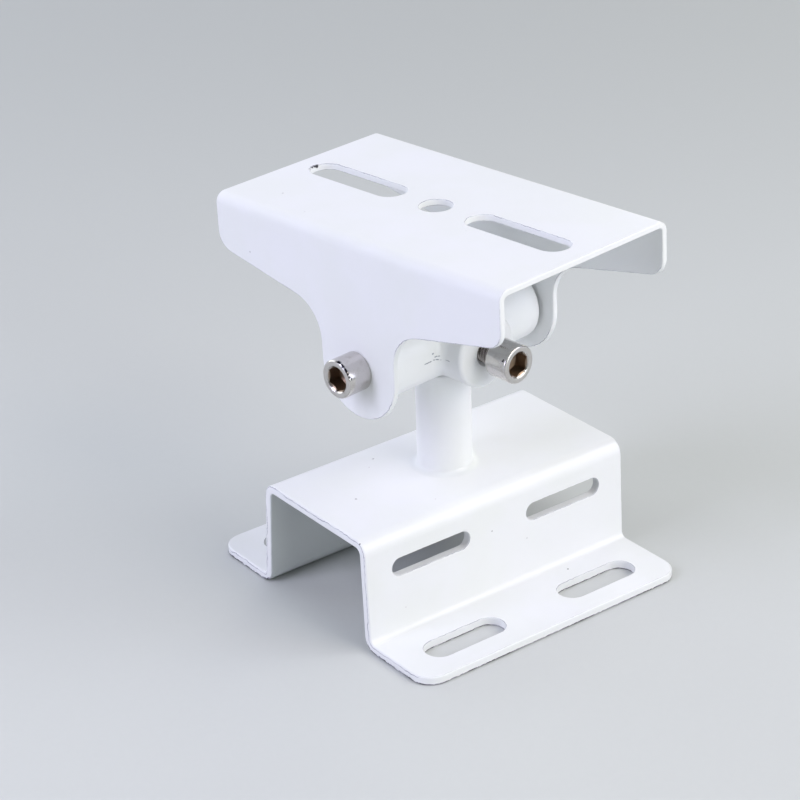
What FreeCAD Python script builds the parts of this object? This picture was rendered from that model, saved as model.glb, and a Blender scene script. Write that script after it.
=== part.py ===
import FreeCAD, Part
import math
import os
import Sketcher
from FreeCAD import Placement, Rotation, Vector

# Camera pole mount: a folded foot bracket with a welded post, a swivel tee
# on the post's spigot, and a folded saddle plate that tilts on the tee.
# Frame: origin on the floor under the post, +X along the foot bracket,
# +Z up. All lengths in millimetres, all angles in degrees.

DRIVING_SIZES = {
    # Foot bracket, one hat section folded from sheet
    "base_length": 87.7,
    "base_width": 94.1,
    "base_height": 31.8,
    "base_top_width": 44.5,
    "base_sheet": 2.5,
    "base_bend": 4.2,
    "near_wall_splay": 2.1,
    "far_wall_splay": 4.0,
    "foot_corner": 6.0,
    "foot_slot_length": 25.2,
    "foot_slot_width": 8.5,
    "foot_slot_pitch": 45.4,
    "foot_slot_span": 72.4,
    "band_slot_length": 25.7,
    "band_slot_width": 5.1,
    "band_slot_pitch": 45.2,
    "band_slot_height": 21.5,
    # Post with its spigot, and the weld round its foot
    "post_diameter": 15.0,
    "spigot_diameter": 10.0,
    "spigot_length": 15.5,
    "spigot_play": 0.05,
    "post_chamfer": 0.5,
    "weld_leg": 1.3,
    # Swivel tee
    "axis_height": 70.3,
    "bar_diameter": 20.0,
    "bar_chamfer": 0.8,
    "arm_length": 17.0,
    "arm_chamfer": 0.8,
    "arm_mouth": 0.9,
    "seat_depth": 0.8,
    "seat_margin": 0.5,
    "bore_headroom": 0.5,
    "far_ear_gap": 1.0,
    "tap_depth": 15.5,
    "drill_point": 118.0,
    # Saddle plate, one channel folded from sheet
    "saddle_length": 105.0,
    "saddle_width": 60.6,
    "saddle_rise": 36.1,
    "saddle_sheet": 1.8,
    "saddle_bend": 3.0,
    "wall_end_depth": 15.0,
    "wall_slope": 11.2,
    "wall_corner": 5.3,
    "ear_radius": 13.65,
    "ear_root": 11.0,
    "ear_hole_play": 0.08,
    "saddle_slot_length": 33.7,
    "saddle_slot_width": 9.0,
    "saddle_slot_offset": 29.4,
    "saddle_hole": 9.0,
    # Socket head screws
    "screw_diameter": 6.0,
    "screw_length": 16.0,
    "screw_tip": 0.8,
    "screw_play": 0.05,
    "head_diameter": 10.5,
    "head_height": 7.25,
    "head_chamfer": 0.45,
    "socket_flats": 6.0,
    "socket_depth": 4.0,
    "socket_mouth": 0.25,
    "lock_tip_gap": 0.1,
    "near_socket_turn": 28.3,
    "lock_socket_turn": 14.0,
    # How the mount is set in the photograph
    "pan_angle": 6.4,
    "tilt_angle": -1.8,
}

X_AXIS = Vector(1, 0, 0)
Y_AXIS = Vector(0, 1, 0)
Z_AXIS = Vector(0, 0, 1)

# Numbers that stand for a sketch's origin and axes and for the points of a line or arc
START, END, CENTRE = range(1, 4)
H_AXIS, V_AXIS = range(-1, -3, -1)
ORIGIN = (H_AXIS, START)


class Dim:
    """A length or angle with the sheet formula that gives it."""

    def __init__(self, value, formula):
        self.value = float(value)
        self.formula = formula

    def _join(self, other, sign, value):
        other_formula = other.formula if isinstance(other, Dim) else repr(other)
        return Dim(value, "(%s %s %s)" % (self.formula, sign, other_formula))

    def __add__(self, other):
        return self._join(other, "+", self.value + number(other))

    def __sub__(self, other):
        return self._join(other, "-", self.value - number(other))

    def __mul__(self, other):
        return self._join(other, "*", self.value * number(other))

    def __truediv__(self, other):
        return self._join(other, "/", self.value / number(other))

    def __neg__(self):
        return Dim(-self.value, "(0 - %s)" % self.formula)


def number(item):
    """The plain number of a Dim or of a number."""
    return item.value if isinstance(item, Dim) else item


def size(alias):
    """The named size, as it stands in the sheet."""
    return Dim(getattr(sheet, alias), "Sizes." + alias)


def tan_of(angle):
    return Dim(math.tan(math.radians(angle.value)), "tan(%s * 1 deg)" % angle.formula)


def cos_of(angle):
    return Dim(math.cos(math.radians(angle.value)), "cos(%s * 1 deg)" % angle.formula)


def point(first, second):
    return Vector(number(first), number(second), 0)


# Sketch helpers

def origin_plane(body, role):
    return next(item for item in body.Origin.OriginFeatures if item.Role == role)


def new_sketch(body, name, role, raised=None):
    """A sketch on one of the body's own planes, raised along its normal if asked."""
    sketch = body.newObject("Sketcher::SketchObject", name)
    sketch.AttachmentSupport = [(origin_plane(body, role), "")]
    sketch.MapMode = "FlatFace"
    if raised is not None:
        sketch.setExpression("AttachmentOffset.Base.z", raised.formula)
    return sketch


def relate(sketch, kind, *references):
    return sketch.addConstraint(Sketcher.Constraint(kind, *references))


def drive(sketch, label, dim, kind, *references):
    """A dimension of the sketch that follows the sheet."""
    index = sketch.addConstraint(Sketcher.Constraint(kind, *references, dim.value))
    sketch.renameConstraint(index, label)
    sketch.setExpression("Constraints." + label, dim.formula)


def drive_across(sketch, label, dim, spot):
    """Fix a point's distance from the vertical axis, on the side where it lies."""
    if dim.value < 0:
        drive(sketch, label, -dim, "DistanceX", *spot, *ORIGIN)
    else:
        drive(sketch, label, dim, "DistanceX", *ORIGIN, *spot)


def drive_up(sketch, label, dim, spot):
    """Fix a point's distance from the horizontal axis, on the side where it lies."""
    if dim.value < 0:
        drive(sketch, label, -dim, "DistanceY", *spot, *ORIGIN)
    else:
        drive(sketch, label, dim, "DistanceY", *ORIGIN, *spot)


def drive_legs(sketch, label, leg, line):
    """Both legs of a 45 degree chamfer line."""
    start, end = sketch.Geometry[line].StartPoint, sketch.Geometry[line].EndPoint
    for kind, first, last in (("DistanceX", start.x, end.x), ("DistanceY", start.y, end.y)):
        low, high = (START, END) if first < last else (END, START)
        drive(sketch, label + kind[-1], leg, kind, line, low, line, high)


def add_outline(sketch, corners):
    """A closed chain of straight lines through the corners."""
    count = len(corners)
    lines = []
    for index in range(count):
        segment = Part.LineSegment(corners[index], corners[(index + 1) % count])
        lines.append(sketch.addGeometry(segment))
    for index in range(count):
        relate(sketch, "Coincident", lines[index], END, lines[(index + 1) % count], START)
    return lines


def level(sketch, *lines):
    for line in lines:
        relate(sketch, "Horizontal", line)


def upright(sketch, *lines):
    for line in lines:
        relate(sketch, "Vertical", line)


def add_circle(sketch, label, radius):
    circle = sketch.addGeometry(Part.Circle(Vector(0, 0, 0), Z_AXIS, radius.value))
    relate(sketch, "Coincident", circle, CENTRE, *ORIGIN)
    drive(sketch, label, radius, "Radius", circle)


def add_slot(sketch, label, across, up, run, width, along_x):
    """A round-ended slot about a centre; run is the distance between its two arc centres."""
    half_run = run.value / 2
    radius = width.value / 2
    centre = point(across, up)
    reach = Vector(half_run, 0, 0) if along_x else Vector(0, half_run, 0)
    side = Vector(0, radius, 0) if along_x else Vector(-radius, 0, 0)
    start_angle = math.radians(-90 if along_x else 0)
    arcs = []
    for turn, end in ((0.0, centre + reach), (math.pi, centre - reach)):
        circle = Part.Circle(end, Z_AXIS, radius)
        first = start_angle + turn
        arcs.append(sketch.addGeometry(Part.ArcOfCircle(circle, first, first + math.pi)))
    first_line = Part.LineSegment(centre + reach + side, centre - reach + side)
    second_line = Part.LineSegment(centre - reach - side, centre + reach - side)
    lines = [sketch.addGeometry(first_line), sketch.addGeometry(second_line)]
    relate(sketch, "Tangent", arcs[0], END, lines[0], START)
    relate(sketch, "Tangent", lines[0], END, arcs[1], START)
    relate(sketch, "Tangent", arcs[1], END, lines[1], START)
    relate(sketch, "Tangent", lines[1], END, arcs[0], START)
    relate(sketch, "Equal", arcs[0], arcs[1])
    drive(sketch, label + "_radius", width / 2, "Radius", arcs[0])
    if along_x:
        level(sketch, lines[0])
        drive_across(sketch, label + "_first", across + run / 2, (arcs[0], CENTRE))
        drive_across(sketch, label + "_second", across - run / 2, (arcs[1], CENTRE))
        drive_up(sketch, label + "_up", up, (arcs[0], CENTRE))
    else:
        upright(sketch, lines[0])
        relate(sketch, "PointOnObject", arcs[0], CENTRE, V_AXIS)
        drive_up(sketch, label + "_first", up + run / 2, (arcs[0], CENTRE))
        drive_up(sketch, label + "_second", up - run / 2, (arcs[1], CENTRE))


# Feature helpers

def new_body(label):
    body = doc.addObject("PartDesign::Body", label)
    body.Label = label
    return body


def pad_both_ways(body, name, sketch, length):
    """Pad a sketch by half the length to each side."""
    pad = body.newObject("PartDesign::Pad", name)
    pad.Profile = sketch
    pad.SideType = "Symmetric"
    pad.setExpression("Length", length.formula)
    return pad


def turn_profile(body, name, sketch, axis_name):
    """Revolve a profile once round one of its sketch axes."""
    revolution = body.newObject("PartDesign::Revolution", name)
    revolution.Profile = sketch
    revolution.ReferenceAxis = (sketch, [axis_name])
    revolution.Angle = 360
    return revolution


def cut_through(body, name, sketch):
    """Cut a sketch through everything, on both sides of its plane."""
    pocket = body.newObject("PartDesign::Pocket", name)
    pocket.Profile = sketch
    pocket.SideType = "Symmetric"
    pocket.Type = "ThroughAll"
    return pocket


def cut_one_way(body, name, sketch, depth=None, along_normal=False):
    """Cut a sketch to one side of its plane, through all where no depth is given."""
    pocket = body.newObject("PartDesign::Pocket", name)
    pocket.Profile = sketch
    pocket.Reversed = along_normal
    if depth is None:
        pocket.Type = "ThroughAll"
    else:
        pocket.Type = "Length"
        pocket.setExpression("Length", depth.formula)
    return pocket


def edges_near(feature, middles):
    """Names of the edges whose centres of mass lie nearest to the given points."""
    edges = feature.Shape.Edges
    names = []
    for middle in middles:
        gaps = [(edge.CenterOfMass - middle).Length for edge in edges]
        names.append("Edge%d" % (gaps.index(min(gaps)) + 1))
    return names


def round_edges(body, name, feature, middles, radius):
    """Fillet the edges of a feature that lie at the given points."""
    doc.recompute()
    fillet = body.newObject("PartDesign::Fillet", name)
    fillet.Base = (feature, edges_near(feature, middles))
    fillet.setExpression("Radius", radius.formula)
    return fillet


def check_removed(body, before, after, name):
    """A cut that points away from the solid shows no error, so volumes are compared."""
    if not after.Shape.Volume < before.Shape.Volume - 0.01:
        raise RuntimeError("%s: %s removed nothing" % (body.Label, name))


# The foot bracket

def draw_hat_section(body):
    """The folded sheet seen from its end, with sharp corners; bends come as fillets."""
    height = size("base_height")
    sheet_gauge = size("base_sheet")
    half_top = size("base_top_width") / 2
    half_foot = size("base_width") / 2
    fall = height - sheet_gauge
    near_reach = fall * tan_of(size("near_wall_splay"))
    far_reach = fall * tan_of(size("far_wall_splay"))
    near_skin = sheet_gauge / cos_of(size("near_wall_splay"))
    far_skin = sheet_gauge / cos_of(size("far_wall_splay"))
    near_foot = half_top + near_reach
    far_foot = half_top + far_reach
    near_slip = sheet_gauge * tan_of(size("near_wall_splay"))
    far_slip = sheet_gauge * tan_of(size("far_wall_splay"))
    corners = {
        "near_toe_low": point(-half_foot, 0),
        "near_toe_high": point(-half_foot, sheet_gauge),
        "near_crease": point(-near_foot, sheet_gauge),
        "near_shoulder": point(-half_top, height),
        "far_shoulder": point(half_top, height),
        "far_crease": point(far_foot, sheet_gauge),
        "far_toe_high": point(half_foot, sheet_gauge),
        "far_toe_low": point(half_foot, 0),
        "far_heel": point(far_foot + far_slip - far_skin, 0),
        "far_ceiling": point(half_top + far_slip - far_skin, fall),
        "near_ceiling": point(near_skin - half_top - near_slip, fall),
        "near_heel": point(near_skin - near_foot - near_slip, 0),
    }
    sketch = new_sketch(body, "hat_section", "YZ_Plane")
    names = list(corners)
    lines = dict(zip(names, add_outline(sketch, list(corners.values()))))
    level(sketch, lines["near_toe_high"], lines["near_shoulder"], lines["far_crease"])
    level(sketch, lines["far_toe_low"], lines["far_ceiling"], lines["near_heel"])
    upright(sketch, lines["near_toe_low"], lines["far_toe_high"])
    relate(sketch, "PointOnObject", lines["near_toe_low"], START, H_AXIS)
    relate(sketch, "PointOnObject", lines["far_toe_low"], START, H_AXIS)
    relate(sketch, "Parallel", lines["near_crease"], lines["near_ceiling"])
    relate(sketch, "Parallel", lines["far_shoulder"], lines["far_heel"])
    drive(sketch, "near_toe_gauge", sheet_gauge, "Distance", lines["near_toe_low"])
    drive(sketch, "far_toe_gauge", sheet_gauge, "Distance", lines["far_toe_high"])
    drive_across(sketch, "near_toe", -half_foot, (lines["near_toe_low"], START))
    drive_across(sketch, "far_toe", half_foot, (lines["far_toe_low"], START))
    drive_across(sketch, "near_shoulder", -half_top, (lines["near_shoulder"], START))
    drive_across(sketch, "far_shoulder", half_top, (lines["far_shoulder"], START))
    drive_up(sketch, "top", height, (lines["near_shoulder"], START))
    drive_up(sketch, "ceiling", fall, (lines["far_ceiling"], START))
    near_wall = (lines["near_crease"], START, lines["near_crease"], END)
    far_wall = (lines["far_shoulder"], START, lines["far_shoulder"], END)
    drive(sketch, "near_reach", near_reach, "DistanceX", *near_wall)
    drive(sketch, "far_reach", far_reach, "DistanceX", *far_wall)
    near_inner = (lines["near_ceiling"], START, lines["near_crease"])
    far_inner = (lines["far_heel"], END, lines["far_shoulder"])
    drive(sketch, "near_gauge", sheet_gauge, "Distance", *near_inner)
    drive(sketch, "far_gauge", sheet_gauge, "Distance", *far_inner)
    return sketch, corners


def edge_middles(corners, names):
    """Middles of the long edges that a section's corners leave along X."""
    return [Vector(0, corners[name].x, corners[name].y) for name in names]


def make_base_bracket():
    body = new_body("base_bracket")
    section, corners = draw_hat_section(body)
    hat = pad_both_ways(body, "hat", section, size("base_length"))
    outside = ("near_shoulder", "far_shoulder", "near_heel", "far_heel")
    inside = ("near_ceiling", "far_ceiling", "near_crease", "far_crease")
    bend = size("base_bend")
    inner_bend = bend - size("base_sheet")
    bends = round_edges(body, "outer_bends", hat, edge_middles(corners, outside), bend)
    bends = round_edges(body, "inner_bends", bends, edge_middles(corners, inside), inner_bend)
    half_length = size("base_length").value / 2
    half_width = size("base_width").value / 2
    half_gauge = size("base_sheet").value / 2
    toes = []
    for side in (-1, 1):
        for end in (-1, 1):
            toes.append(Vector(end * half_length, side * half_width, half_gauge))
    blank = round_edges(body, "foot_corners", bends, toes, size("foot_corner"))

    feet = new_sketch(body, "foot_slot_outlines", "XY_Plane")
    foot_run = size("foot_slot_length") - size("foot_slot_width")
    for side, side_name in ((-1, "near"), (1, "far")):
        for end, end_name in ((-1, "left"), (1, "right")):
            add_slot(feet, "%s_%s" % (side_name, end_name), size("foot_slot_pitch") / 2 * end,
                     size("foot_slot_span") / 2 * side, foot_run, size("foot_slot_width"), True)
    foot_slots = cut_through(body, "foot_slots", feet)

    walls = new_sketch(body, "band_slot_outlines", "XZ_Plane")
    band_run = size("band_slot_length") - size("band_slot_width")
    for end, end_name in ((-1, "left"), (1, "right")):
        add_slot(walls, end_name, size("band_slot_pitch") / 2 * end, size("band_slot_height"),
                 band_run, size("band_slot_width"), True)
    band_slots = cut_through(body, "band_slots", walls)
    doc.recompute()
    check_removed(body, blank, foot_slots, "foot_slots")
    check_removed(body, foot_slots, band_slots, "band_slots")
    return body


# The post and its weld

def draw_turned_outline(sketch, heights, radii):
    """Half outline of a turned piece: steps of radius between heights, closed on its axis."""
    labels = list(heights)
    corners = [point(0, heights[labels[0]])]
    for label in labels:
        corners.append(point(radii[label], heights[label]))
    corners.append(point(0, heights[labels[-1]]))
    lines = add_outline(sketch, corners)
    level(sketch, lines[0], lines[-2])
    relate(sketch, "PointOnObject", lines[0], START, V_AXIS)
    relate(sketch, "PointOnObject", lines[-1], START, V_AXIS)
    for index, label in enumerate(labels):
        spot = (lines[index], END)
        drive_across(sketch, label + "_radius", radii[label], spot)
        if heights[label].value == 0:
            relate(sketch, "PointOnObject", *spot, H_AXIS)
        else:
            drive_up(sketch, label + "_height", heights[label], spot)


def post_shoulder():
    """Height of the post's shoulder, where the tee's spot face rests."""
    return size("axis_height") - size("bar_diameter") / 2 + size("seat_depth")


def make_base_post():
    body = new_body("base_post")
    chamfer = size("post_chamfer")
    post_radius = size("post_diameter") / 2
    spigot_radius = size("spigot_diameter") / 2
    shoulder = post_shoulder()
    top = shoulder + size("spigot_length")
    heights = {"foot": size("base_height"), "bevel_low": shoulder - chamfer,
               "bevel_high": shoulder, "root": shoulder,
               "tip_low": top - chamfer, "tip_high": top}
    radii = {"foot": post_radius, "bevel_low": post_radius,
             "bevel_high": post_radius - chamfer, "root": spigot_radius,
             "tip_low": spigot_radius, "tip_high": spigot_radius - chamfer}
    sketch = new_sketch(body, "post_outline", "XZ_Plane")
    draw_turned_outline(sketch, heights, radii)
    turn_profile(body, "turned_post", sketch, "V_Axis")
    return body


def make_post_weld():
    """The weld bead round the post's foot."""
    body = new_body("post_weld")
    radius = size("post_diameter") / 2
    leg = size("weld_leg")
    foot = size("base_height")
    sketch = new_sketch(body, "bead_section", "XZ_Plane")
    corners = [point(radius, foot), point(radius + leg, foot), point(radius, foot + leg)]
    lines = add_outline(sketch, corners)
    level(sketch, lines[0])
    upright(sketch, lines[2])
    drive_across(sketch, "post_side", radius, (lines[0], START))
    drive_up(sketch, "bracket_top", foot, (lines[0], START))
    drive_legs(sketch, "leg", leg, lines[1])
    turn_profile(body, "bead", sketch, "V_Axis")
    return body


# The swivel tee: its cross bar between the ears, and the arm that carries the lock screw

def tee_frame():
    """Where the tee stands: at the tilt axis height, turned by the pan angle."""
    turn = Rotation(Z_AXIS, size("pan_angle").value)
    return Placement(Vector(0, 0, size("axis_height").value), turn)


def ear_face():
    """Half the clear width between the saddle's ears."""
    return size("saddle_width") / 2 - size("saddle_sheet")


def cut_spigot_bore(body, before):
    """The blind bore and the spot face that the post's spigot and shoulder fit."""
    bore_radius = size("spigot_diameter") / 2 + size("spigot_play")
    seat_level = size("bar_diameter") / 2 - size("seat_depth")
    bore_depth = size("spigot_length") + size("bore_headroom")
    bore_circle = new_sketch(body, "bore_circle", "XY_Plane", bore_depth - seat_level)
    add_circle(bore_circle, "bore_radius", bore_radius)
    bore = cut_one_way(body, "spigot_bore", bore_circle)
    seat_circle = new_sketch(body, "seat_circle", "XY_Plane", -seat_level)
    add_circle(seat_circle, "seat_radius", size("post_diameter") / 2 + size("seat_margin"))
    seat = cut_one_way(body, "shoulder_seat", seat_circle)
    doc.recompute()
    check_removed(body, before, bore, "spigot_bore")
    check_removed(body, bore, seat, "shoulder_seat")
    return seat


def lock_hole_radius():
    return size("screw_diameter") / 2 + size("screw_play")


def make_cross_bar():
    """A round bar with a tapped hole in each end, drawn as one turned outline."""
    body = new_body("cross_bar")
    radius = size("bar_diameter") / 2
    tap = size("screw_diameter") / 2
    near_end = ear_face()
    far_end = near_end - size("far_ear_gap")
    depth = size("tap_depth")
    point_length = tap / tan_of(size("drill_point") / 2)
    chamfer = size("bar_chamfer")
    corners = [
        point(-near_end, tap), point(-near_end, radius - chamfer),
        point(chamfer - near_end, radius), point(far_end - chamfer, radius),
        point(far_end, radius - chamfer), point(far_end, tap), point(far_end - depth, tap),
        point(far_end - depth - point_length, 0),
        point(depth + point_length - near_end, 0), point(depth - near_end, tap),
    ]
    sketch = new_sketch(body, "bar_outline", "XZ_Plane")
    lines = add_outline(sketch, corners)
    upright(sketch, lines[0], lines[4])
    level(sketch, lines[2], lines[5], lines[7], lines[9])
    relate(sketch, "PointOnObject", lines[7], START, H_AXIS)
    drive_across(sketch, "near_end", -near_end, (lines[0], START))
    drive_across(sketch, "far_end", far_end, (lines[4], START))
    drive_up(sketch, "bar_radius", radius, (lines[2], START))
    drive_up(sketch, "near_tap", tap, (lines[0], START))
    drive_up(sketch, "far_tap", tap, (lines[5], START))
    drive(sketch, "far_depth", depth, "Distance", lines[5])
    drive(sketch, "near_depth", depth, "Distance", lines[9])
    drive(sketch, "far_point", point_length, "DistanceX", lines[6], END, lines[6], START)
    drive(sketch, "near_point", point_length, "DistanceX", lines[8], END, lines[8], START)
    drive_legs(sketch, "near_chamfer", chamfer, lines[1])
    drive_legs(sketch, "far_chamfer", chamfer, lines[3])
    bar = turn_profile(body, "turned_bar", sketch, "H_Axis")
    seat = cut_spigot_bore(body, bar)
    screw_circle = new_sketch(body, "lock_hole_circle", "XZ_Plane")
    add_circle(screw_circle, "lock_hole_radius", lock_hole_radius())
    lock_hole = cut_one_way(body, "lock_hole", screw_circle, along_normal=True)
    doc.recompute()
    check_removed(body, seat, lock_hole, "lock_hole")
    body.Placement = tee_frame()
    return body


def make_lock_arm():
    """A short round arm, coped to fit the cross bar, with the lock screw's hole."""
    body = new_body("lock_arm")
    radius = size("bar_diameter") / 2
    hole = lock_hole_radius()
    length = size("arm_length")
    chamfer = size("arm_chamfer")
    mouth = size("arm_mouth")
    corners = [point(-length, hole + mouth), point(-length, radius - chamfer),
               point(chamfer - length, radius), point(0, radius),
               point(0, hole), point(mouth - length, hole)]
    sketch = new_sketch(body, "arm_outline", "YZ_Plane")
    lines = add_outline(sketch, corners)
    upright(sketch, lines[0], lines[3])
    level(sketch, lines[2], lines[4])
    relate(sketch, "PointOnObject", lines[3], START, V_AXIS)
    drive_across(sketch, "arm_end", -length, (lines[0], START))
    drive_up(sketch, "arm_radius", radius, (lines[2], START))
    drive_up(sketch, "hole_radius", hole, (lines[4], START))
    drive_legs(sketch, "chamfer", chamfer, lines[1])
    drive_legs(sketch, "mouth", mouth, lines[5])
    arm = turn_profile(body, "turned_arm", sketch, "H_Axis")
    cope_circle = new_sketch(body, "cope_circle", "YZ_Plane")
    add_circle(cope_circle, "cope_radius", radius)
    cope = cut_through(body, "cope", cope_circle)
    doc.recompute()
    check_removed(body, arm, cope, "cope")
    cut_spigot_bore(body, cope)
    body.Placement = tee_frame()
    return body


# The saddle plate

def saddle_frame():
    """The saddle turns about the cross bar, which stands in the tee's frame."""
    tilt = Placement(Vector(0, 0, 0), Rotation(X_AXIS, size("tilt_angle").value))
    return tee_frame().multiply(tilt)


def draw_saddle_side(body):
    """The folded channel's side view: long wall, one round ear, tapered wings."""
    rise = size("saddle_rise")
    half_length = size("saddle_length") / 2
    ear = size("ear_radius")
    end_level = rise - size("wall_end_depth")
    drop = (half_length - ear) * tan_of(size("wall_slope"))
    root_level = end_level - drop
    right = [point(half_length, rise), point(half_length, end_level),
             point(ear, root_level), point(ear, 0)]
    left = [point(-half_length, rise), point(-half_length, end_level),
            point(-ear, root_level), point(-ear, 0)]
    sketch = new_sketch(body, "saddle_side", "YZ_Plane")
    chain = list(reversed(left)) + right
    lines = []
    for first, second in zip(chain, chain[1:]):
        lines.append(sketch.addGeometry(Part.LineSegment(first, second)))
    for first, second in zip(lines, lines[1:]):
        relate(sketch, "Coincident", first, END, second, START)
    circle = Part.Circle(Vector(0, 0, 0), Z_AXIS, ear.value)
    round_end = sketch.addGeometry(Part.ArcOfCircle(circle, math.pi, 2 * math.pi))
    relate(sketch, "Coincident", round_end, CENTRE, *ORIGIN)
    relate(sketch, "Tangent", round_end, START, lines[0], START)
    relate(sketch, "Tangent", round_end, END, lines[6], END)
    upright(sketch, lines[0], lines[2], lines[4], lines[6])
    level(sketch, lines[3])
    drive(sketch, "ear_radius", ear, "Radius", round_end)
    drive_up(sketch, "rise", rise, (lines[3], START))
    drive_across(sketch, "left_end", -half_length, (lines[3], START))
    drive_across(sketch, "right_end", half_length, (lines[3], END))
    drive(sketch, "left_depth", size("wall_end_depth"), "Distance", lines[2])
    drive(sketch, "right_depth", size("wall_end_depth"), "Distance", lines[4])
    drive_up(sketch, "left_root", root_level, (lines[0], END))
    drive_up(sketch, "right_root", root_level, (lines[6], START))
    return sketch, end_level, root_level


def make_saddle_plate():
    body = new_body("saddle_plate")
    side, end_level, root_level = draw_saddle_side(body)
    width = size("saddle_width")
    half_width = width / 2
    gauge = size("saddle_sheet")
    rise = size("saddle_rise")
    ear = size("ear_radius")
    half_length = size("saddle_length").value / 2
    block = pad_both_ways(body, "side_block", side, width)
    wing_tips = [Vector(0, end * half_length, end_level.value) for end in (-1, 1)]
    roots = [Vector(0, end * ear.value, root_level.value) for end in (-1, 1)]
    ridges = [Vector(end * half_width.value, 0, rise.value) for end in (-1, 1)]
    shaped = round_edges(body, "wing_corners", block, wing_tips, size("wall_corner"))
    shaped = round_edges(body, "ear_roots", shaped, roots, size("ear_root"))
    shaped = round_edges(body, "outer_bends", shaped, ridges, size("saddle_bend"))

    inside = new_sketch(body, "channel_outline", "XZ_Plane")
    clear = half_width - gauge
    ceiling = rise - gauge
    floor_level = -ear - gauge
    corners = [point(-clear, floor_level), point(-clear, ceiling),
               point(clear, ceiling), point(clear, floor_level)]
    lines = add_outline(inside, corners)
    upright(inside, lines[0], lines[2])
    level(inside, lines[1], lines[3])
    drive_across(inside, "near_inside", -clear, (lines[0], START))
    drive_across(inside, "far_inside", clear, (lines[2], START))
    drive_up(inside, "ceiling", ceiling, (lines[1], START))
    drive_up(inside, "below_ears", floor_level, (lines[0], START))
    channel = cut_through(body, "channel", inside)
    creases = [Vector(end * clear.value, 0, ceiling.value) for end in (-1, 1)]
    folded = round_edges(body, "inner_bends", channel, creases, size("saddle_bend") - gauge)

    top_cuts = new_sketch(body, "top_outlines", "XY_Plane")
    add_circle(top_cuts, "hole_radius", size("saddle_hole") / 2)
    run = size("saddle_slot_length") - size("saddle_slot_width")
    for end, end_name in ((-1, "front"), (1, "back")):
        add_slot(top_cuts, end_name, Dim(0, "0"), size("saddle_slot_offset") * end, run,
                 size("saddle_slot_width"), False)
    top_openings = cut_through(body, "top_openings", top_cuts)
    ear_cuts = new_sketch(body, "ear_hole_circle", "YZ_Plane")
    add_circle(ear_cuts, "ear_hole_radius", size("screw_diameter") / 2 + size("ear_hole_play"))
    ear_holes = cut_through(body, "ear_holes", ear_cuts)
    doc.recompute()
    check_removed(body, shaped, channel, "channel")
    check_removed(body, folded, top_openings, "top_openings")
    check_removed(body, top_openings, ear_holes, "ear_holes")
    body.Placement = saddle_frame()
    return body


# The socket head screws

def draw_hexagon(sketch, flats):
    """A regular hexagon about the origin, given across its flats."""
    radius = flats / math.sqrt(3)
    corners = []
    for index in range(6):
        angle = math.radians(60 * index)
        corners.append(Vector(radius.value * math.cos(angle), radius.value * math.sin(angle), 0))
    lines = add_outline(sketch, corners)
    rim = sketch.addGeometry(Part.Circle(Vector(0, 0, 0), Z_AXIS, radius.value), True)
    relate(sketch, "Coincident", rim, CENTRE, *ORIGIN)
    drive(sketch, "corner_radius", radius, "Radius", rim)
    for line in lines:
        relate(sketch, "PointOnObject", line, START, rim)
    for line in lines[1:]:
        relate(sketch, "Equal", lines[0], line)
    relate(sketch, "PointOnObject", lines[0], START, H_AXIS)


def make_socket_screw(label, place):
    """A socket head screw: under its head at the origin, head along +Z, plain thread below."""
    body = new_body(label)
    thread = size("screw_diameter") / 2
    head = size("head_diameter") / 2
    tip = size("screw_tip")
    length = size("screw_length")
    height = size("head_height")
    chamfer = size("head_chamfer")
    zero = Dim(0, "0")
    heights = {"end_low": -length, "end_high": tip - length, "neck": zero,
               "collar": zero, "crown_low": height - chamfer, "crown_high": height}
    radii = {"end_low": thread - tip, "end_high": thread, "neck": thread,
             "collar": head, "crown_low": head, "crown_high": head - chamfer}
    outline = new_sketch(body, "screw_outline", "XZ_Plane")
    draw_turned_outline(outline, heights, radii)
    blank = turn_profile(body, "turned_screw", outline, "V_Axis")
    key_outline = new_sketch(body, "key_outline", "XY_Plane", height)
    draw_hexagon(key_outline, size("socket_flats"))
    socket = cut_one_way(body, "key_socket", key_outline, size("socket_depth"))
    mouth_radius = size("socket_flats") / math.sqrt(3) + size("socket_mouth")
    mouth_outline = new_sketch(body, "mouth_outline", "XZ_Plane")
    corners = [point(0, height), point(mouth_radius, height), point(0, height - mouth_radius)]
    lines = add_outline(mouth_outline, corners)
    level(mouth_outline, lines[0])
    upright(mouth_outline, lines[2])
    relate(mouth_outline, "PointOnObject", lines[0], START, V_AXIS)
    drive_up(mouth_outline, "crown_level", height, (lines[0], START))
    drive(mouth_outline, "mouth_radius", mouth_radius, "Distance", lines[0])
    drive(mouth_outline, "mouth_depth", mouth_radius, "Distance", lines[2])
    mouth = body.newObject("PartDesign::Groove", "socket_mouth")
    mouth.Profile = mouth_outline
    mouth.ReferenceAxis = (mouth_outline, ["V_Axis"])
    mouth.Angle = 360
    doc.recompute()
    check_removed(body, blank, socket, "key_socket")
    check_removed(body, socket, mouth, "socket_mouth")
    body.Placement = place
    return body


def screw_place(seat, turn_to, socket_turn):
    """A screw's place in the tee's frame: its seat, its direction, its socket's turn."""
    spin = Placement(Vector(0, 0, 0), Rotation(Z_AXIS, socket_turn))
    return tee_frame().multiply(Placement(seat, turn_to)).multiply(spin)


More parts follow.
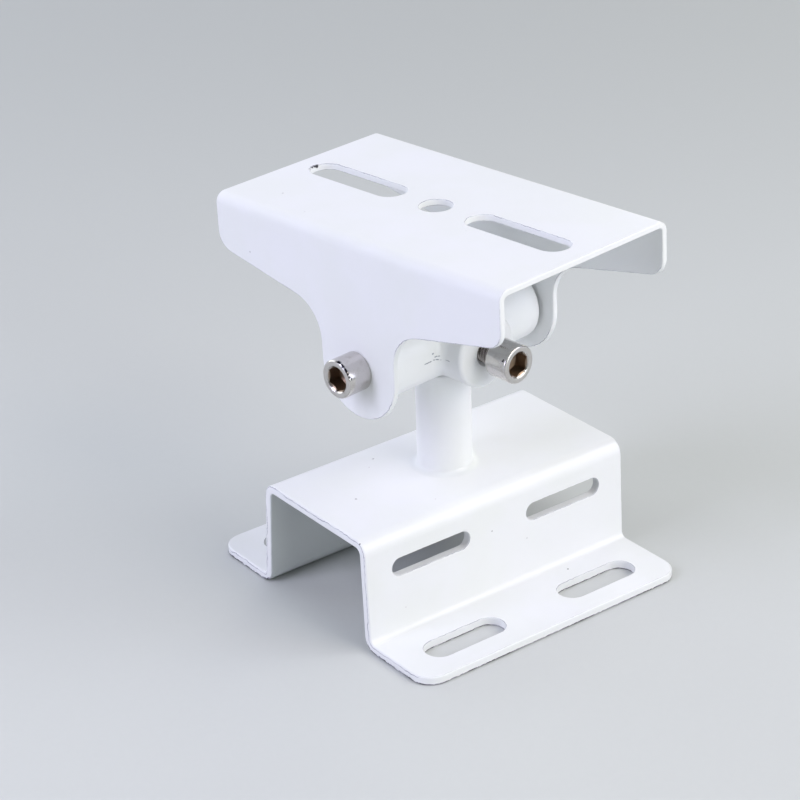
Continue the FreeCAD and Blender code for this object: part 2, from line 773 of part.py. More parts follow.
def make_screws():
    ear_side = size("saddle_width").value / 2
    lock_seat = (size("spigot_diameter") / 2 + size("lock_tip_gap") + size("screw_length")).value
    near_turn = Rotation(Y_AXIS, -90)
    far_turn = Rotation(Y_AXIS, 90)
    lock_turn = Rotation(X_AXIS, 90)
    near_spin = size("near_socket_turn").value
    lock_spin = size("lock_socket_turn").value
    return [
        make_socket_screw("tilt_screw_near", screw_place(Vector(-ear_side, 0, 0), near_turn, near_spin)),
        make_socket_screw("tilt_screw_far", screw_place(Vector(ear_side, 0, 0), far_turn, near_spin)),
        make_socket_screw("pan_lock_screw", screw_place(Vector(0, -lock_seat, 0), lock_turn, lock_spin)),
    ]


# Checks and files

def check_document():
    """A recompute can leave an object failed without raising, so each one is asked."""
    for item in doc.Objects:
        if "Invalid" in item.State or "Error" in item.State:
            raise RuntimeError("%s failed: %s" % (item.Name, item.State))
        if item.TypeId == "Sketcher::SketchObject" and item.solve() != 0:
            raise RuntimeError("%s does not solve" % item.Name)


def write_pieces(pieces):
    os.makedirs("parts", exist_ok=True)
    for piece in pieces:
        shape = piece.Shape
        if shape.isNull() or not shape.isValid() or len(shape.Solids) != 1:
            raise RuntimeError("%s is not one valid solid" % piece.Label)
    for piece in pieces:
        piece.Shape.exportStep("parts/%s.step" % piece.Label)
        box = piece.Shape.BoundBox
        print("%-16s %8.1f mm3  X %.1f..%.1f  Y %.1f..%.1f  Z %.1f..%.1f" % (
            piece.Label, piece.Shape.Volume, box.XMin, box.XMax,
            box.YMin, box.YMax, box.ZMin, box.ZMax))


doc = FreeCAD.newDocument("camera_pole_mount")
sheet = doc.addObject("Spreadsheet::Sheet", "Sizes")
for row, (alias, value) in enumerate(DRIVING_SIZES.items(), start=1):
    sheet.set("A%d" % row, alias)
    sheet.set("B%d" % row, str(value))
    sheet.setAlias("B%d" % row, alias)
doc.recompute()

pieces = [
    make_base_bracket(),
    make_base_post(),
    make_post_weld(),
    make_cross_bar(),
    make_lock_arm(),
    make_saddle_plate(),
]
pieces += make_screws()
doc.recompute()
check_document()
write_pieces(pieces)
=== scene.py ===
import math
import bpy
import numpy as np
from mathutils import Matrix, Vector
from mathutils.geometry import delaunay_2d_cdt


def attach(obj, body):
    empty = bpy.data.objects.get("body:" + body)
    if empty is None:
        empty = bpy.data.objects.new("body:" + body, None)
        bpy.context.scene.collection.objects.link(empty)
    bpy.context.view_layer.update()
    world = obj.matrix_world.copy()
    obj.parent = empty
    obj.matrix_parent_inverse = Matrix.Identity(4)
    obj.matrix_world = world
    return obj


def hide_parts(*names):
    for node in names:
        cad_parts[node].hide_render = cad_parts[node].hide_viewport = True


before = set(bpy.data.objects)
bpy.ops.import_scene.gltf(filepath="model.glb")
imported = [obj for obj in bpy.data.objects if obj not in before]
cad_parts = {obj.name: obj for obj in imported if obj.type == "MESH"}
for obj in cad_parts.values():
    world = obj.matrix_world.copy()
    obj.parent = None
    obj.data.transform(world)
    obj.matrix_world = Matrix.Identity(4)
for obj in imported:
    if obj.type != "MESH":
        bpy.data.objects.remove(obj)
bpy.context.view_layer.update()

# Looks of the camera pole mount: sizes in millimetres repeat the solids' own, angles are in degrees

MM = 0.001
FULL_TURN = 2 * math.pi

BASE_LENGTH, BASE_WIDTH, BASE_HEIGHT = 87.7, 94.1, 31.8
BASE_TOP_WIDTH, BASE_SHEET, BASE_BEND = 44.5, 2.5, 4.2
NEAR_SPLAY, FAR_SPLAY, FOOT_CORNER = 2.1, 4.0, 6.0
FOOT_SLOT_LENGTH, FOOT_SLOT_WIDTH = 25.2, 8.5
FOOT_SLOT_PITCH, FOOT_SLOT_SPAN = 45.4, 72.4
BAND_SLOT_LENGTH, BAND_SLOT_WIDTH = 25.7, 5.1
BAND_SLOT_PITCH, BAND_SLOT_HEIGHT, FAR_BAND_LIFT = 45.2, 21.5, 0.8
POST_DIAMETER, SPIGOT_DIAMETER, SPIGOT_LENGTH = 15.0, 10.0, 15.5
WELD_REACH, WELD_RISE = 2.4, 1.15
AXIS_HEIGHT, BAR_DIAMETER, ARM_LENGTH, SEAT_DEPTH = 70.3, 20.0, 17.0, 0.8
SEAT_MARGIN, TAP_DEPTH, FAR_EAR_GAP = 0.5, 15.5, 1.0
SADDLE_LENGTH, SADDLE_WIDTH, SADDLE_RISE = 105.0, 60.6, 36.1
SADDLE_SHEET, SADDLE_BEND, WALL_END_DEPTH, WALL_SLOPE = 1.8, 3.0, 15.0, 11.2
WALL_CORNER, EAR_RADIUS, EAR_ROOT, EAR_HOLE = 5.3, 13.65, 11.0, 6.16
SADDLE_SLOT_LENGTH, SADDLE_SLOT_WIDTH, SADDLE_SLOT_OFFSET = 33.7, 9.0, 29.4
SADDLE_HOLE = 9.0
SCREW_DIAMETER, SCREW_LENGTH, SCREW_PITCH, THREAD_DEPTH = 6.0, 16.0, 1.0, 0.61
HEAD_DIAMETER, HEAD_HEIGHT, SOCKET_FLATS, SOCKET_DEPTH = 10.5, 7.25, 6.0, 4.0
SOCKET_RADIUS = SOCKET_FLATS / math.sqrt(3)
NEAR_SOCKET_TURN, LOCK_SOCKET_TURN, LOCK_TIP_GAP = 28.3, -10.0, 0.1
# The near screw's head is taller than the others, and the saddle turns this far clear of the heads
NEAR_HEAD_HEIGHT, SEAT_GAP = 7.6, 0.01
PAN_ANGLE, TILT_ANGLE = 6.4, -1.8

# Paint build-up rounds every cut edge of the sheet, less so in the punched slots
SHEET_RIM, HOLE_RIM = 0.45, 0.25
# A thin line of thin paint runs along each cut edge: its place and half width on the rim
THIN_LINE, THIN_WIDTH = 0.20, 0.12
CRACK_LINE, CRACK_WIDTH, CRACK_DEPTH = 0.80, 0.16, 1.0
# How strongly that line shows: on the bracket's outline and slots, on the saddle's ends and its rest
OUTLINE_WEAR, HOLE_WEAR, SADDLE_END_WEAR, SADDLE_WEAR = 0.35, 0.9, 0.25, 0.95
# The feet's lower edges are painted dark, as a painted contact shadow where they stand on the floor
CONTACT_SHADE_LINE, CONTACT_SHADE_WIDTH, CONTACT_SHADE_DEPTH = 0.45, 0.60, 2.4
# An edge whose normal leans this far along the folds belongs to a sheet's end
END_FACING = 0.9
# The tee's round ends, and the soft welded corner between its bar and its arm
TEE_RIM, TEE_BLEND = 1.25, 3.2
# A drilled hole ends in a cone this deep
DRILL_CONE = 1.7
# How finely round forms are divided: degrees to a step, or parts to a turn
ARC_STEP, FOLD_STEP, SCREW_STEP = 9.0, 7.5, 12
HOLE_PARTS, TURNED_PARTS, TEE_PARTS, TEE_RUNS = 48, 96, 180, 34
WELD_PARTS, WELD_STEPS, THREAD_STEPS, RIM_STEPS = 180, 16, 12, 6
# A radius that closes a turned shape at its axis, and the least step between two points
AXIS_RADIUS, LEAST_STEP, CROSSING_GAP = 0.01, 1e-4, 1e-6


# Chains of points with the normal on the right-hand side of travel

def rounded_chain(corners, radii, closed=True, step=ARC_STEP):
    """A chain whose corners are rounded, as (a, b, normal a, normal b) rows."""
    count = len(corners)
    rows = []
    for index in range(count):
        here = Vector(corners[index])
        if not closed and index in (0, count - 1):
            other = Vector(corners[1] if index == 0 else corners[-2])
            way = (other - here if index == 0 else here - other).normalized()
            rows.append((here.x, here.y, way.y, -way.x))
            continue
        way_in = (here - Vector(corners[index - 1])).normalized()
        way_out = (Vector(corners[(index + 1) % count]) - here).normalized()
        turn = math.atan2(way_in.x * way_out.y - way_in.y * way_out.x, way_in.dot(way_out))
        side = math.copysign(1.0, turn)
        radius = radii[index]
        start = here - way_in * (radius * math.tan(abs(turn) / 2))
        normal = Vector((way_in.y, -way_in.x))
        centre = start - normal * (side * radius)
        parts = max(1, math.ceil(abs(math.degrees(turn)) / step))
        for part in range(parts + 1):
            swing = Matrix.Rotation(turn * part / parts, 2)
            now = swing @ normal
            spot = centre + now * (side * radius)
            rows.append((spot.x, spot.y, now.x, now.y))
    rows = [row for last, row in zip([None] + rows, rows)
            if last is None or math.dist(last[:2], row[:2]) > LEAST_STEP]
    if closed and math.dist(rows[0][:2], rows[-1][:2]) < LEAST_STEP:
        rows.pop()
    return rows


def round_hole(a, b, radius):
    """A round hole, run backwards so that its normals point into it."""
    rows = []
    for part in range(HOLE_PARTS):
        angle = -FULL_TURN * part / HOLE_PARTS
        out = (math.cos(angle), math.sin(angle))
        rows.append((a + radius * out[0], b + radius * out[1], -out[0], -out[1]))
    return rows


def slot_hole(a, b, length_a, length_b):
    """A round-ended slot, its two lengths taken over all."""
    half_a, half_b = length_a / 2, length_b / 2
    corners = [(a - half_a, b - half_b), (a - half_a, b + half_b),
               (a + half_a, b + half_b), (a + half_a, b - half_b)]
    return rounded_chain(corners, [min(half_a, half_b)] * 4)


# Meshes

# Edges that turn more than this stay sharp on pieces without normals of their own
SHARP_ANGLE = 38


def add_piece(name, points, faces, normals, place, body, slot, nodes, material, marks=None):
    """A mesh of the object: it stands for its nodes and rides on their body."""
    mesh = bpy.data.meshes.new(name)
    points = np.asarray(points, float) * MM
    if normals is not None:
        normals = np.asarray(normals, float)
        faces = [face if turned_right(points, normals, face) else face[::-1] for face in faces]
    mesh.from_pydata([tuple(point) for point in points], [], [tuple(face) for face in faces])
    mesh.validate()
    mesh.polygons.foreach_set("use_smooth", [True] * len(mesh.polygons))
    if normals is not None:
        mesh.normals_split_custom_set_from_vertices([tuple(normal) for normal in normals])
    else:
        mesh.set_sharp_from_angle(angle=math.radians(SHARP_ANGLE))
    for label, values in (marks or {}).items():
        mesh.attributes.new(label, "FLOAT", "POINT").data.foreach_set("value", values)
    mesh.materials.append(material)
    piece = bpy.data.objects.new(name, mesh)
    bpy.context.scene.collection.objects.link(piece)
    piece.matrix_world = place
    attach(piece, body)
    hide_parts(*nodes)
    return piece


def turned_right(points, normals, face):
    """Whether a face looks the way its points' normals do."""
    a, b, c = (points[index] for index in face[:3])
    facing = np.cross(b - a, c - a)
    if len(face) > 3:
        facing = facing + np.cross(c - a, points[face[3]] - a)
    return float(facing @ normals[list(face)].sum(axis=0)) > 0


def grid_faces(rows, columns, start=0, wrap=True):
    """Quads of a grid stored row by row; wrap joins its last column to its first."""
    faces = []
    for row in range(rows - 1):
        for column in range(columns if wrap else columns - 1):
            after = (column + 1) % columns
            low, high = start + row * columns, start + (row + 1) * columns
            faces.append((low + column, low + after, high + after, high + column))
    return faces


# Folded sheet

class FoldLine:
    """The middle line of a folded sheet. Its right-hand side is the outer skin."""

    def __init__(self, corners, bend):
        radii = [0.0] + [bend] * (len(corners) - 2) + [0.0]
        self.rows = np.array(rounded_chain(corners, radii, closed=False, step=FOLD_STEP))
        runs = np.hypot(*np.diff(self.rows[:, :2], axis=0).T)
        self.stations = np.concatenate([[0.0], np.cumsum(runs)])
        self.length = float(self.stations[-1])

    def at(self, station):
        """The place and normal at a distance along the line."""
        return [np.interp(station, self.stations, self.rows[:, column]) for column in range(4)]

    def where(self, level, last=False):
        """The station where the line crosses a level of its second coordinate."""
        heights = self.rows[:, 1]
        found = []
        for index in range(len(heights) - 1):
            low, high = heights[index], heights[index + 1]
            if (low - level) * (high - level) < 0:
                share = (level - low) / (high - low)
                found.append(self.stations[index] * (1 - share) + self.stations[index + 1] * share)
        return float(found[-1 if last else 0])


def split_at_folds(loop, stations):
    """Add a point wherever a straight run of the loop crosses a fold station."""
    rows = []
    for index, row in enumerate(loop):
        after = loop[(index + 1) % len(loop)]
        rows.append(row)
        low, high = min(row[0], after[0]) + CROSSING_GAP, max(row[0], after[0]) - CROSSING_GAP
        inside = [station for station in stations if low < station < high]
        for station in sorted(inside, reverse=after[0] < row[0]):
            share = (station - row[0]) / (after[0] - row[0])
            rows.append((station, row[1] + (after[1] - row[1]) * share, row[2], row[3]))
    return rows


def inside_loops(spots, loops):
    """Even-odd test of many spots against all loops together."""
    hits = np.zeros(len(spots), bool)
    for loop in loops:
        ring = np.array([row[:2] for row in loop])
        for (a0, b0), (a1, b1) in zip(ring, np.roll(ring, -1, axis=0)):
            if b0 == b1:
                continue
            spans = (b0 > spots[:, 1]) != (b1 > spots[:, 1])
            cross = a0 + (spots[:, 1] - b0) * (a1 - a0) / (b1 - b0)
            hits ^= spans & (spots[:, 0] < cross)
    return hits


def rim_profile(rim, gauge):
    """Rows across a rounded rim: reach, rise, angle, side and way along the skin to mid-rim."""
    quarter = np.radians(np.linspace(0, 90, RIM_STEPS))
    half = gauge / 2
    rows = [(rim * math.sin(q), half - rim * (1 - math.cos(q)), q, 1, rim * q) for q in quarter]
    rows.append((rim, 0.0, math.pi / 2, 1, rim * math.pi / 2 + half - rim))
    return rows + [(reach, -rise, q, -1, way) for reach, rise, q, side, way in reversed(rows[:-1])]


def folded_sheet(line, loops, gauge, across, up, along, edge_of):
    """A folded plate with rounded cut edges: its points, faces, normals and edge marks."""
    loops = [split_at_folds(loops[0], line.stations[1:-1])] + loops[1:]
    rims = [SHEET_RIM] + [HOLE_RIM] * (len(loops) - 1)
    inner = [[(s - ns * rim, c - nc * rim, ns, nc) for s, c, ns, nc in loop]
             for loop, rim in zip(loops, rims)]
    points, normals, faces, edges, flat, top, low = [], [], [], [], [], [], []
    crack, wear_and_contact_shade, drift, inner_shade = [], [], [], []
    for number, (loop, rim) in enumerate(zip(inner, rims)):
        profile = rim_profile(rim, gauge)
        start, count = len(points), len(loop)
        flat_start = len(flat)
        for reach, rise, angle, side, way in profile:
            for s, c, ns, nc in loop:
                station = s + ns * reach
                a, b, na, nb = line.at(station)
                skin = across * na + up * nb
                out = (across * -nb + up * na) * ns + along * nc
                points.append(across * a + up * b + skin * rise + along * (c + nc * reach))
                normals.append(out * math.sin(angle) + skin * (side * math.cos(angle)))
                middle, width, strength = edge_of(number, nc, side, b)
                crack.append((way - middle) / width)
                wear_and_contact_shade.append(strength if way > 0 else 0.0)
                drift.append(1.0 if middle == CRACK_LINE else 0.0)
                # Painted shade: the inner skin is marked to be coloured greyer
                inner_shade.append(1.0 if side < 0 and way < rim else 0.0)
        faces += grid_faces(len(profile), count, start)
        top += range(start, start + count)
        low += range(start + (len(profile) - 1) * count, start + len(profile) * count)
        flat += [Vector((s, c)) for s, c, ns, nc in loop]
        edges += [(flat_start + i, flat_start + (i + 1) % count) for i in range(count)]
    outer = inner[0]
    for station in line.stations[1:-1]:
        ends = [i for i, row in enumerate(outer) if abs(row[0] - station) < CROSSING_GAP]
        edges.append((ends[0], ends[-1]))
    made = delaunay_2d_cdt(flat, edges, [], 0, 1e-5)
    came_from = [originals[0] for originals in made[3]]
    triangles = [[came_from[i] for i in face] for face in made[2]]
    middles = np.array([sum((flat[i] for i in face), Vector((0, 0))) / 3 for face in triangles])
    kept = inside_loops(middles, inner)
    for face, keep in zip(triangles, kept):
        if keep:
            faces += [[top[i] for i in face], [low[i] for i in face]]
    return points, faces, normals, {"crack": crack, "wear_and_contact_shade": wear_and_contact_shade, "drift": drift, "inner_shade": inner_shade}


# How an edge is marked, by its loop's number, its normal along the folds, its side of the sheet and
# its height: the mark's middle and half width on the rim, and its strength

def base_edge(number, along, side, level):
    """The feet's lower edges get a painted contact shadow; the left end's paint has cracked along its
    upper edge; elsewhere the line is faint.
    """
    if side < 0 and level < BASE_SHEET:
        return CONTACT_SHADE_LINE, CONTACT_SHADE_WIDTH, CONTACT_SHADE_DEPTH
    if number == 0 and along < -END_FACING and side > 0:
        return CRACK_LINE, CRACK_WIDTH, CRACK_DEPTH
    return THIN_LINE, THIN_WIDTH, OUTLINE_WEAR if number == 0 else HOLE_WEAR


def saddle_edge(number, along, side, level):
    """Faint on the saddle's two ends, clear round the ears, slots and hole."""
    faint = number == 0 and abs(along) > END_FACING
    return THIN_LINE, THIN_WIDTH, SADDLE_END_WEAR if faint else SADDLE_WEAR


X, Y, Z = (np.array(axis, float) for axis in ((1, 0, 0), (0, 1, 0), (0, 0, 1)))


def base_line():
    """Middle line of the foot bracket, from its far toe over the top to its near toe."""
    half = BASE_SHEET / 2
    top, foot = BASE_HEIGHT - half, half
    corners = []
    for side, splay in ((1, FAR_SPLAY), (-1, NEAR_SPLAY)):
        lean = math.radians(splay)
        spot = Vector((BASE_TOP_WIDTH / 2, BASE_HEIGHT)) - Vector((math.cos(lean), math.sin(lean))) * half
        reach = [spot.x + (spot.y - level) * math.tan(lean) for level in (foot, top)]
        wall = [(side * reach[0], foot), (side * reach[1], top)]
        corners += wall if side > 0 else wall[::-1]
    toes = [(BASE_WIDTH / 2, foot), (-BASE_WIDTH / 2, foot)]
    return FoldLine([toes[0]] + corners + [toes[1]], BASE_BEND - half)


def make_base(material):
    """The foot bracket: a hat section with four foot slots and four band slots."""
    line = base_line()
    half = BASE_LENGTH / 2
    outline = [(0, -half), (line.length, -half), (line.length, half), (0, half)]
    loops = [rounded_chain(outline, [FOOT_CORNER] * 4)]
    foot = (BASE_WIDTH - FOOT_SLOT_SPAN) / 2
    walls = [line.where(BAND_SLOT_HEIGHT + FAR_BAND_LIFT), line.where(BAND_SLOT_HEIGHT, last=True)]
    for end in (-1, 1):
        for station in (foot, line.length - foot):
            loops.append(slot_hole(station, end * FOOT_SLOT_PITCH / 2, FOOT_SLOT_WIDTH, FOOT_SLOT_LENGTH))
        for station in walls:
            loops.append(slot_hole(station, end * BAND_SLOT_PITCH / 2, BAND_SLOT_WIDTH, BAND_SLOT_LENGTH))
    points, faces, normals, marks = folded_sheet(line, loops, BASE_SHEET, Y, Z, X, base_edge)
    return add_piece("foot_bracket", points, faces, normals, Matrix.Identity(4), "base", "powder_coat",
                     ["base_bracket"], material, marks)


def make_saddle(place, material):
    """The saddle: one channel whose walls taper into round ears."""
    half = SADDLE_SHEET / 2
    side, top = SADDLE_WIDTH / 2 - half, SADDLE_RISE - half
    corners = [(side, -EAR_RADIUS), (side, top), (-side, top), (-side, -EAR_RADIUS)]
    line = FoldLine(corners, SADDLE_BEND - half)
    length, end = line.length, SADDLE_LENGTH / 2
    tip = EAR_RADIUS + SADDLE_RISE - WALL_END_DEPTH
    root = tip - (end - EAR_RADIUS) * math.tan(math.radians(WALL_SLOPE))
    outline = [((tip, -end), WALL_CORNER), ((length - tip, -end), WALL_CORNER),
               ((length - root, -EAR_RADIUS), EAR_ROOT), ((length, -EAR_RADIUS), EAR_RADIUS),
               ((length, EAR_RADIUS), EAR_RADIUS), ((length - root, EAR_RADIUS), EAR_ROOT),
               ((length - tip, end), WALL_CORNER), ((tip, end), WALL_CORNER),
               ((root, EAR_RADIUS), EAR_ROOT), ((0, EAR_RADIUS), EAR_RADIUS),
               ((0, -EAR_RADIUS), EAR_RADIUS), ((root, -EAR_RADIUS), EAR_ROOT)]
    loops = [rounded_chain([spot for spot, radius in outline], [radius for spot, radius in outline])]
    loops.append(round_hole(length / 2, 0, SADDLE_HOLE / 2))
    for side in (-1, 1):
        middle = side * SADDLE_SLOT_OFFSET
        loops.append(slot_hole(length / 2, middle, SADDLE_SLOT_WIDTH, SADDLE_SLOT_LENGTH))
    for station in (EAR_RADIUS, length - EAR_RADIUS):
        loops.append(round_hole(station, 0, EAR_HOLE / 2))
    points, faces, normals, marks = folded_sheet(line, loops, SADDLE_SHEET, X, Z, Y, saddle_edge)
    return add_piece("folded_saddle", points, faces, normals, place, "saddle", "powder_coat",
                     ["saddle_plate"], material, marks)


# Turned pieces

# Rounding of the post's foot, its shoulder, the shoulder's inner corner and the spigot's tip
POST_ROUNDING = [0, 0.6, 0.3, 0.5, 0]


def turn_angles(parts):
    """The angles of one turn, in equal parts."""
    return [FULL_TURN * part / parts for part in range(parts)]


def turned(profile, parts):
    """Points, faces and normals of (radius, height, normal, normal) rows turned about Z."""
    angles = turn_angles(parts)
    points, normals = [], []
    for radius, height, outward, upward in profile:
        for angle in angles:
            cos, sin = math.cos(angle), math.sin(angle)
            points.append((radius * cos, radius * sin, height))
            normals.append((outward * cos, outward * sin, upward))
    return points, grid_faces(len(profile), parts), normals


def make_post(material):
    """The post, with the shoulder and spigot that the tee turns on."""
    shoulder = AXIS_HEIGHT - BAR_DIAMETER / 2 + SEAT_DEPTH
    post, spigot = POST_DIAMETER / 2, SPIGOT_DIAMETER / 2
    corners = [(post, BASE_HEIGHT), (post, shoulder), (spigot, shoulder),
               (spigot, shoulder + SPIGOT_LENGTH), (AXIS_RADIUS, shoulder + SPIGOT_LENGTH)]
    profile = rounded_chain(corners, POST_ROUNDING, closed=False)
    made = turned(profile, TURNED_PARTS)
    return add_piece("round_post", *made, Matrix.Identity(4), "base", "powder_coat",
                     ["base_post"], material)


# Where short ridges stand up on the weld, in degrees round the post, and how far each spreads
WELD_RIDGES, WELD_RIDGE_SPREAD = (30, 95, 150, 208, 264, 325), 8.0
# A ridge's height, and where up the fillet it lies and how far it reaches there, in degrees
RIDGE_HEIGHT, RIDGE_PLACE, RIDGE_REACH = 0.12, 72, 10
# The fillet swells and shrinks round the post: share, waves to a turn and phase
WELD_WAVES = ((0.06, 4, 1), (0.03, 11, 2))
# The fillet's hollow arc runs a little past both of its ends, in degrees
WELD_SWEEP = (-4, 94)
# The weld's corner is painted greyer as painted shade, by this share of the inner faces' painted shade
WELD_CORNER_SHADE = 0.45


def make_weld(material):
    """A hollow fillet with a few soft ripples and ridges, as a painted weld shows."""
    angles = np.linspace(0, FULL_TURN, WELD_PARTS, endpoint=False)
    swing = np.ones(WELD_PARTS)
    for share, waves, phase in WELD_WAVES:
        swing += share * np.sin(angles * waves + phase)
    ridge = sum(np.exp(-((np.degrees(angles) - place) / WELD_RIDGE_SPREAD) ** 2)
                for place in WELD_RIDGES)
    points, thin = [], []
    for sweep in np.radians(np.linspace(*WELD_SWEEP, WELD_STEPS)):
        # Painted shade: greyer towards the middle of the fillet's hollow
        thin += [WELD_CORNER_SHADE * max(math.sin(2 * sweep), 0.0)] * WELD_PARTS
        away = (math.degrees(sweep) - RIDGE_PLACE) / RIDGE_REACH
        swell = RIDGE_HEIGHT * ridge * math.exp(-away ** 2)
        reach = WELD_REACH * swing * (1 - math.sin(sweep)) + swell
        rise = WELD_RISE * swing * (1 - math.cos(sweep)) + swell
        for angle, out, up in zip(angles, reach, rise):
            radius = POST_DIAMETER / 2 + out
            points.append((radius * math.cos(angle), radius * math.sin(angle), BASE_HEIGHT + up))
    faces = grid_faces(WELD_STEPS, WELD_PARTS)
    return add_piece("weld_bead", points, faces, None, Matrix.Identity(4), "base", "powder_coat",
                     ["post_weld"], material, {"inner_shade": thin})


# The tee

TEE_RADIUS = BAR_DIAMETER / 2
# Half the distance over which the tee's slope is taken, and how often a spot is moved along it
SLOPE_REACH, SETTLE_TURNS = 0.01, 5
# Rounding along a limb's end: rim, hole's mouth, its lower edge and the hole's bottom
LIMB_ROUNDING = [0, TEE_RIM, 0.15, 0.1, 0.05, 0]
# The tapped holes' mouth; the lock screw's hole: its play, countersink and depth
TAP_MOUTH, LOCK_PLAY, LOCK_MOUTH, LOCK_DEPTH = 0.3, 0.05, 0.9, 11.0


def tee_distance(spots):
    """Signed distance to the bar and the arm, joined by a soft welded corner."""
    x, y, z = spots.T
    to_bar = np.hypot(y, z)
    behind = np.maximum(y, 0)
    to_arm = np.sqrt(x * x + z * z + behind * behind)
    alike = (y * behind + z * z) / np.maximum(to_bar * to_arm, 1e-6)
    soft = TEE_BLEND * np.clip(1 - alike, 0, 1) + 1e-4
    first, second = to_bar - TEE_RADIUS, to_arm - TEE_RADIUS
    share = np.maximum(soft - np.abs(first - second), 0) / soft
    return np.minimum(first, second) - share * share * soft / 4


def settle_on_tee(spots):
    """Move spots onto the tee's surface and give their normals."""
    spots = np.array(spots, float)
    for turn in range(SETTLE_TURNS):
        steps = [axis * SLOPE_REACH for axis in (X, Y, Z)]
        slope = np.stack([(tee_distance(spots + step) - tee_distance(spots - step)) / (2 * SLOPE_REACH)
                          for step in steps], axis=1)
        slope /= np.maximum(np.linalg.norm(slope, axis=1, keepdims=True), 1e-6)
        spots = spots - slope * tee_distance(spots)[:, None]
    return spots, slope


def tee_part(way, side, outer_end, hole, mouth, hole_depth, start_of):
    """One limb of the tee: its skin from the seam to the rim, its end face and its hole."""
    rings = [(math.cos(angle), math.sin(angle)) for angle in turn_angles(TEE_PARTS)]
    rim_start = outer_end - TEE_RIM
    points, normals = [], []
    skin = []
    for run in range(TEE_RUNS + 1):
        for cos, sin in rings:
            start = start_of(cos * TEE_RADIUS)
            along = start + (rim_start - start) * run / TEE_RUNS
            skin.append(side * TEE_RADIUS * cos + way * along + Z * (TEE_RADIUS * sin))
    skin, slopes = settle_on_tee(skin)
    points += list(skin)
    normals += list(slopes)
    hole_end = outer_end - hole_depth
    corners = [(TEE_RADIUS, rim_start - 1), (TEE_RADIUS, outer_end), (hole + mouth, outer_end),
               (hole, outer_end - mouth - 0.01), (hole, hole_end), (AXIS_RADIUS, hole_end - DRILL_CONE)]
    profile = rounded_chain(corners, LIMB_ROUNDING, closed=False, step=SCREW_STEP)[2:]
    for radius, along, outward, forward in profile:
        for cos, sin in rings:
            points.append(side * radius * cos + way * along + Z * (radius * sin))
            normals.append(side * (outward * cos) + way * forward + Z * (outward * sin))
    return points, normals, grid_faces(TEE_RUNS + 1 + len(profile), TEE_PARTS)


def cut_seat(points, normals, faces):
    """Flatten the spot face that the post's shoulder fits, and open the spigot's bore."""
    points, normals = np.array(points), np.array(normals)
    seat = -(TEE_RADIUS - SEAT_DEPTH) + 0.02
    near = np.hypot(points[:, 0], points[:, 1]) < POST_DIAMETER / 2 + SEAT_MARGIN
    low = near & (points[:, 2] < seat)
    points[low, 2] = seat
    normals[low] = -Z
    kept = []
    for face in faces:
        middle = points[list(face)].mean(axis=0)
        if middle[2] > seat + 0.1 or math.hypot(middle[0], middle[1]) > SPIGOT_DIAMETER / 2 + 0.1:
            kept.append(face)
    return points, kept, normals


def make_bar(place, material):
    """The tee's bar: two limbs that meet in the middle, each with a tapped hole."""
    near_end = SADDLE_WIDTH / 2 - SADDLE_SHEET
    far_end = near_end - FAR_EAR_GAP
    points, normals, faces = [], [], []
    for way, end in ((-X, near_end), (X, far_end)):
        made = tee_part(way, Y, end, SCREW_DIAMETER / 2, TAP_MOUTH, TAP_DEPTH, lambda y: max(0.0, -y))
        faces += [tuple(index + len(points) for index in face) for face in made[2]]
        points += made[0]
        normals += made[1]
    made = cut_seat(points, normals, faces)
    return add_piece("tee_bar", *made, place, "swivel", "powder_coat", ["cross_bar"], material)


def make_arm(place, material):
    """The tee's arm, coped to the bar, with the lock screw's hole."""
    hole = SCREW_DIAMETER / 2 + LOCK_PLAY
    points, normals, faces = tee_part(-Y, X, ARM_LENGTH, hole, LOCK_MOUTH, LOCK_DEPTH, abs)
    made = cut_seat(points, normals, faces)
    return add_piece("tee_arm", *made, place, "swivel", "powder_coat", ["lock_arm"], material)


# Screws

# How far the thread rises from the tip and fades under the head, and its play in the hole
THREAD_LEAD_IN, THREAD_RUN_OUT, THREAD_PLAY = 1.2, 0.8, 0.01
# A thread groove's flanks, as shares of the pitch, and where the thread ends under the head
FLANK_TOP, FLANK_SLOPE, THREAD_END = 1.25, 2.5, 0.3
# How hollow the tip is, and the smooth neck under the head
TIP_HOLLOW, NECK = 0.2, 0.2
# The socket's mouth is coned this much wider; rounding from the neck to that mouth
MOUTH_MARGIN, HEAD_ROUNDING = 0.3, [0, 0.05, 0.25, 0.6, 0.12, 0]
# The socket's bottom: its bevel's height and width, its drilled share and the drill's cone
BEVEL_HEIGHT, BEVEL_WIDTH, DRILLED_SHARE, SOCKET_CONE = 0.25, 0.12, 0.47, 1.5


def hex_radius(angle):
    """Distance from the centre to a hexagon's side at an angle, per unit across flats."""
    return 0.5 / math.cos((angle + math.pi / 6) % (math.pi / 3) - math.pi / 6)


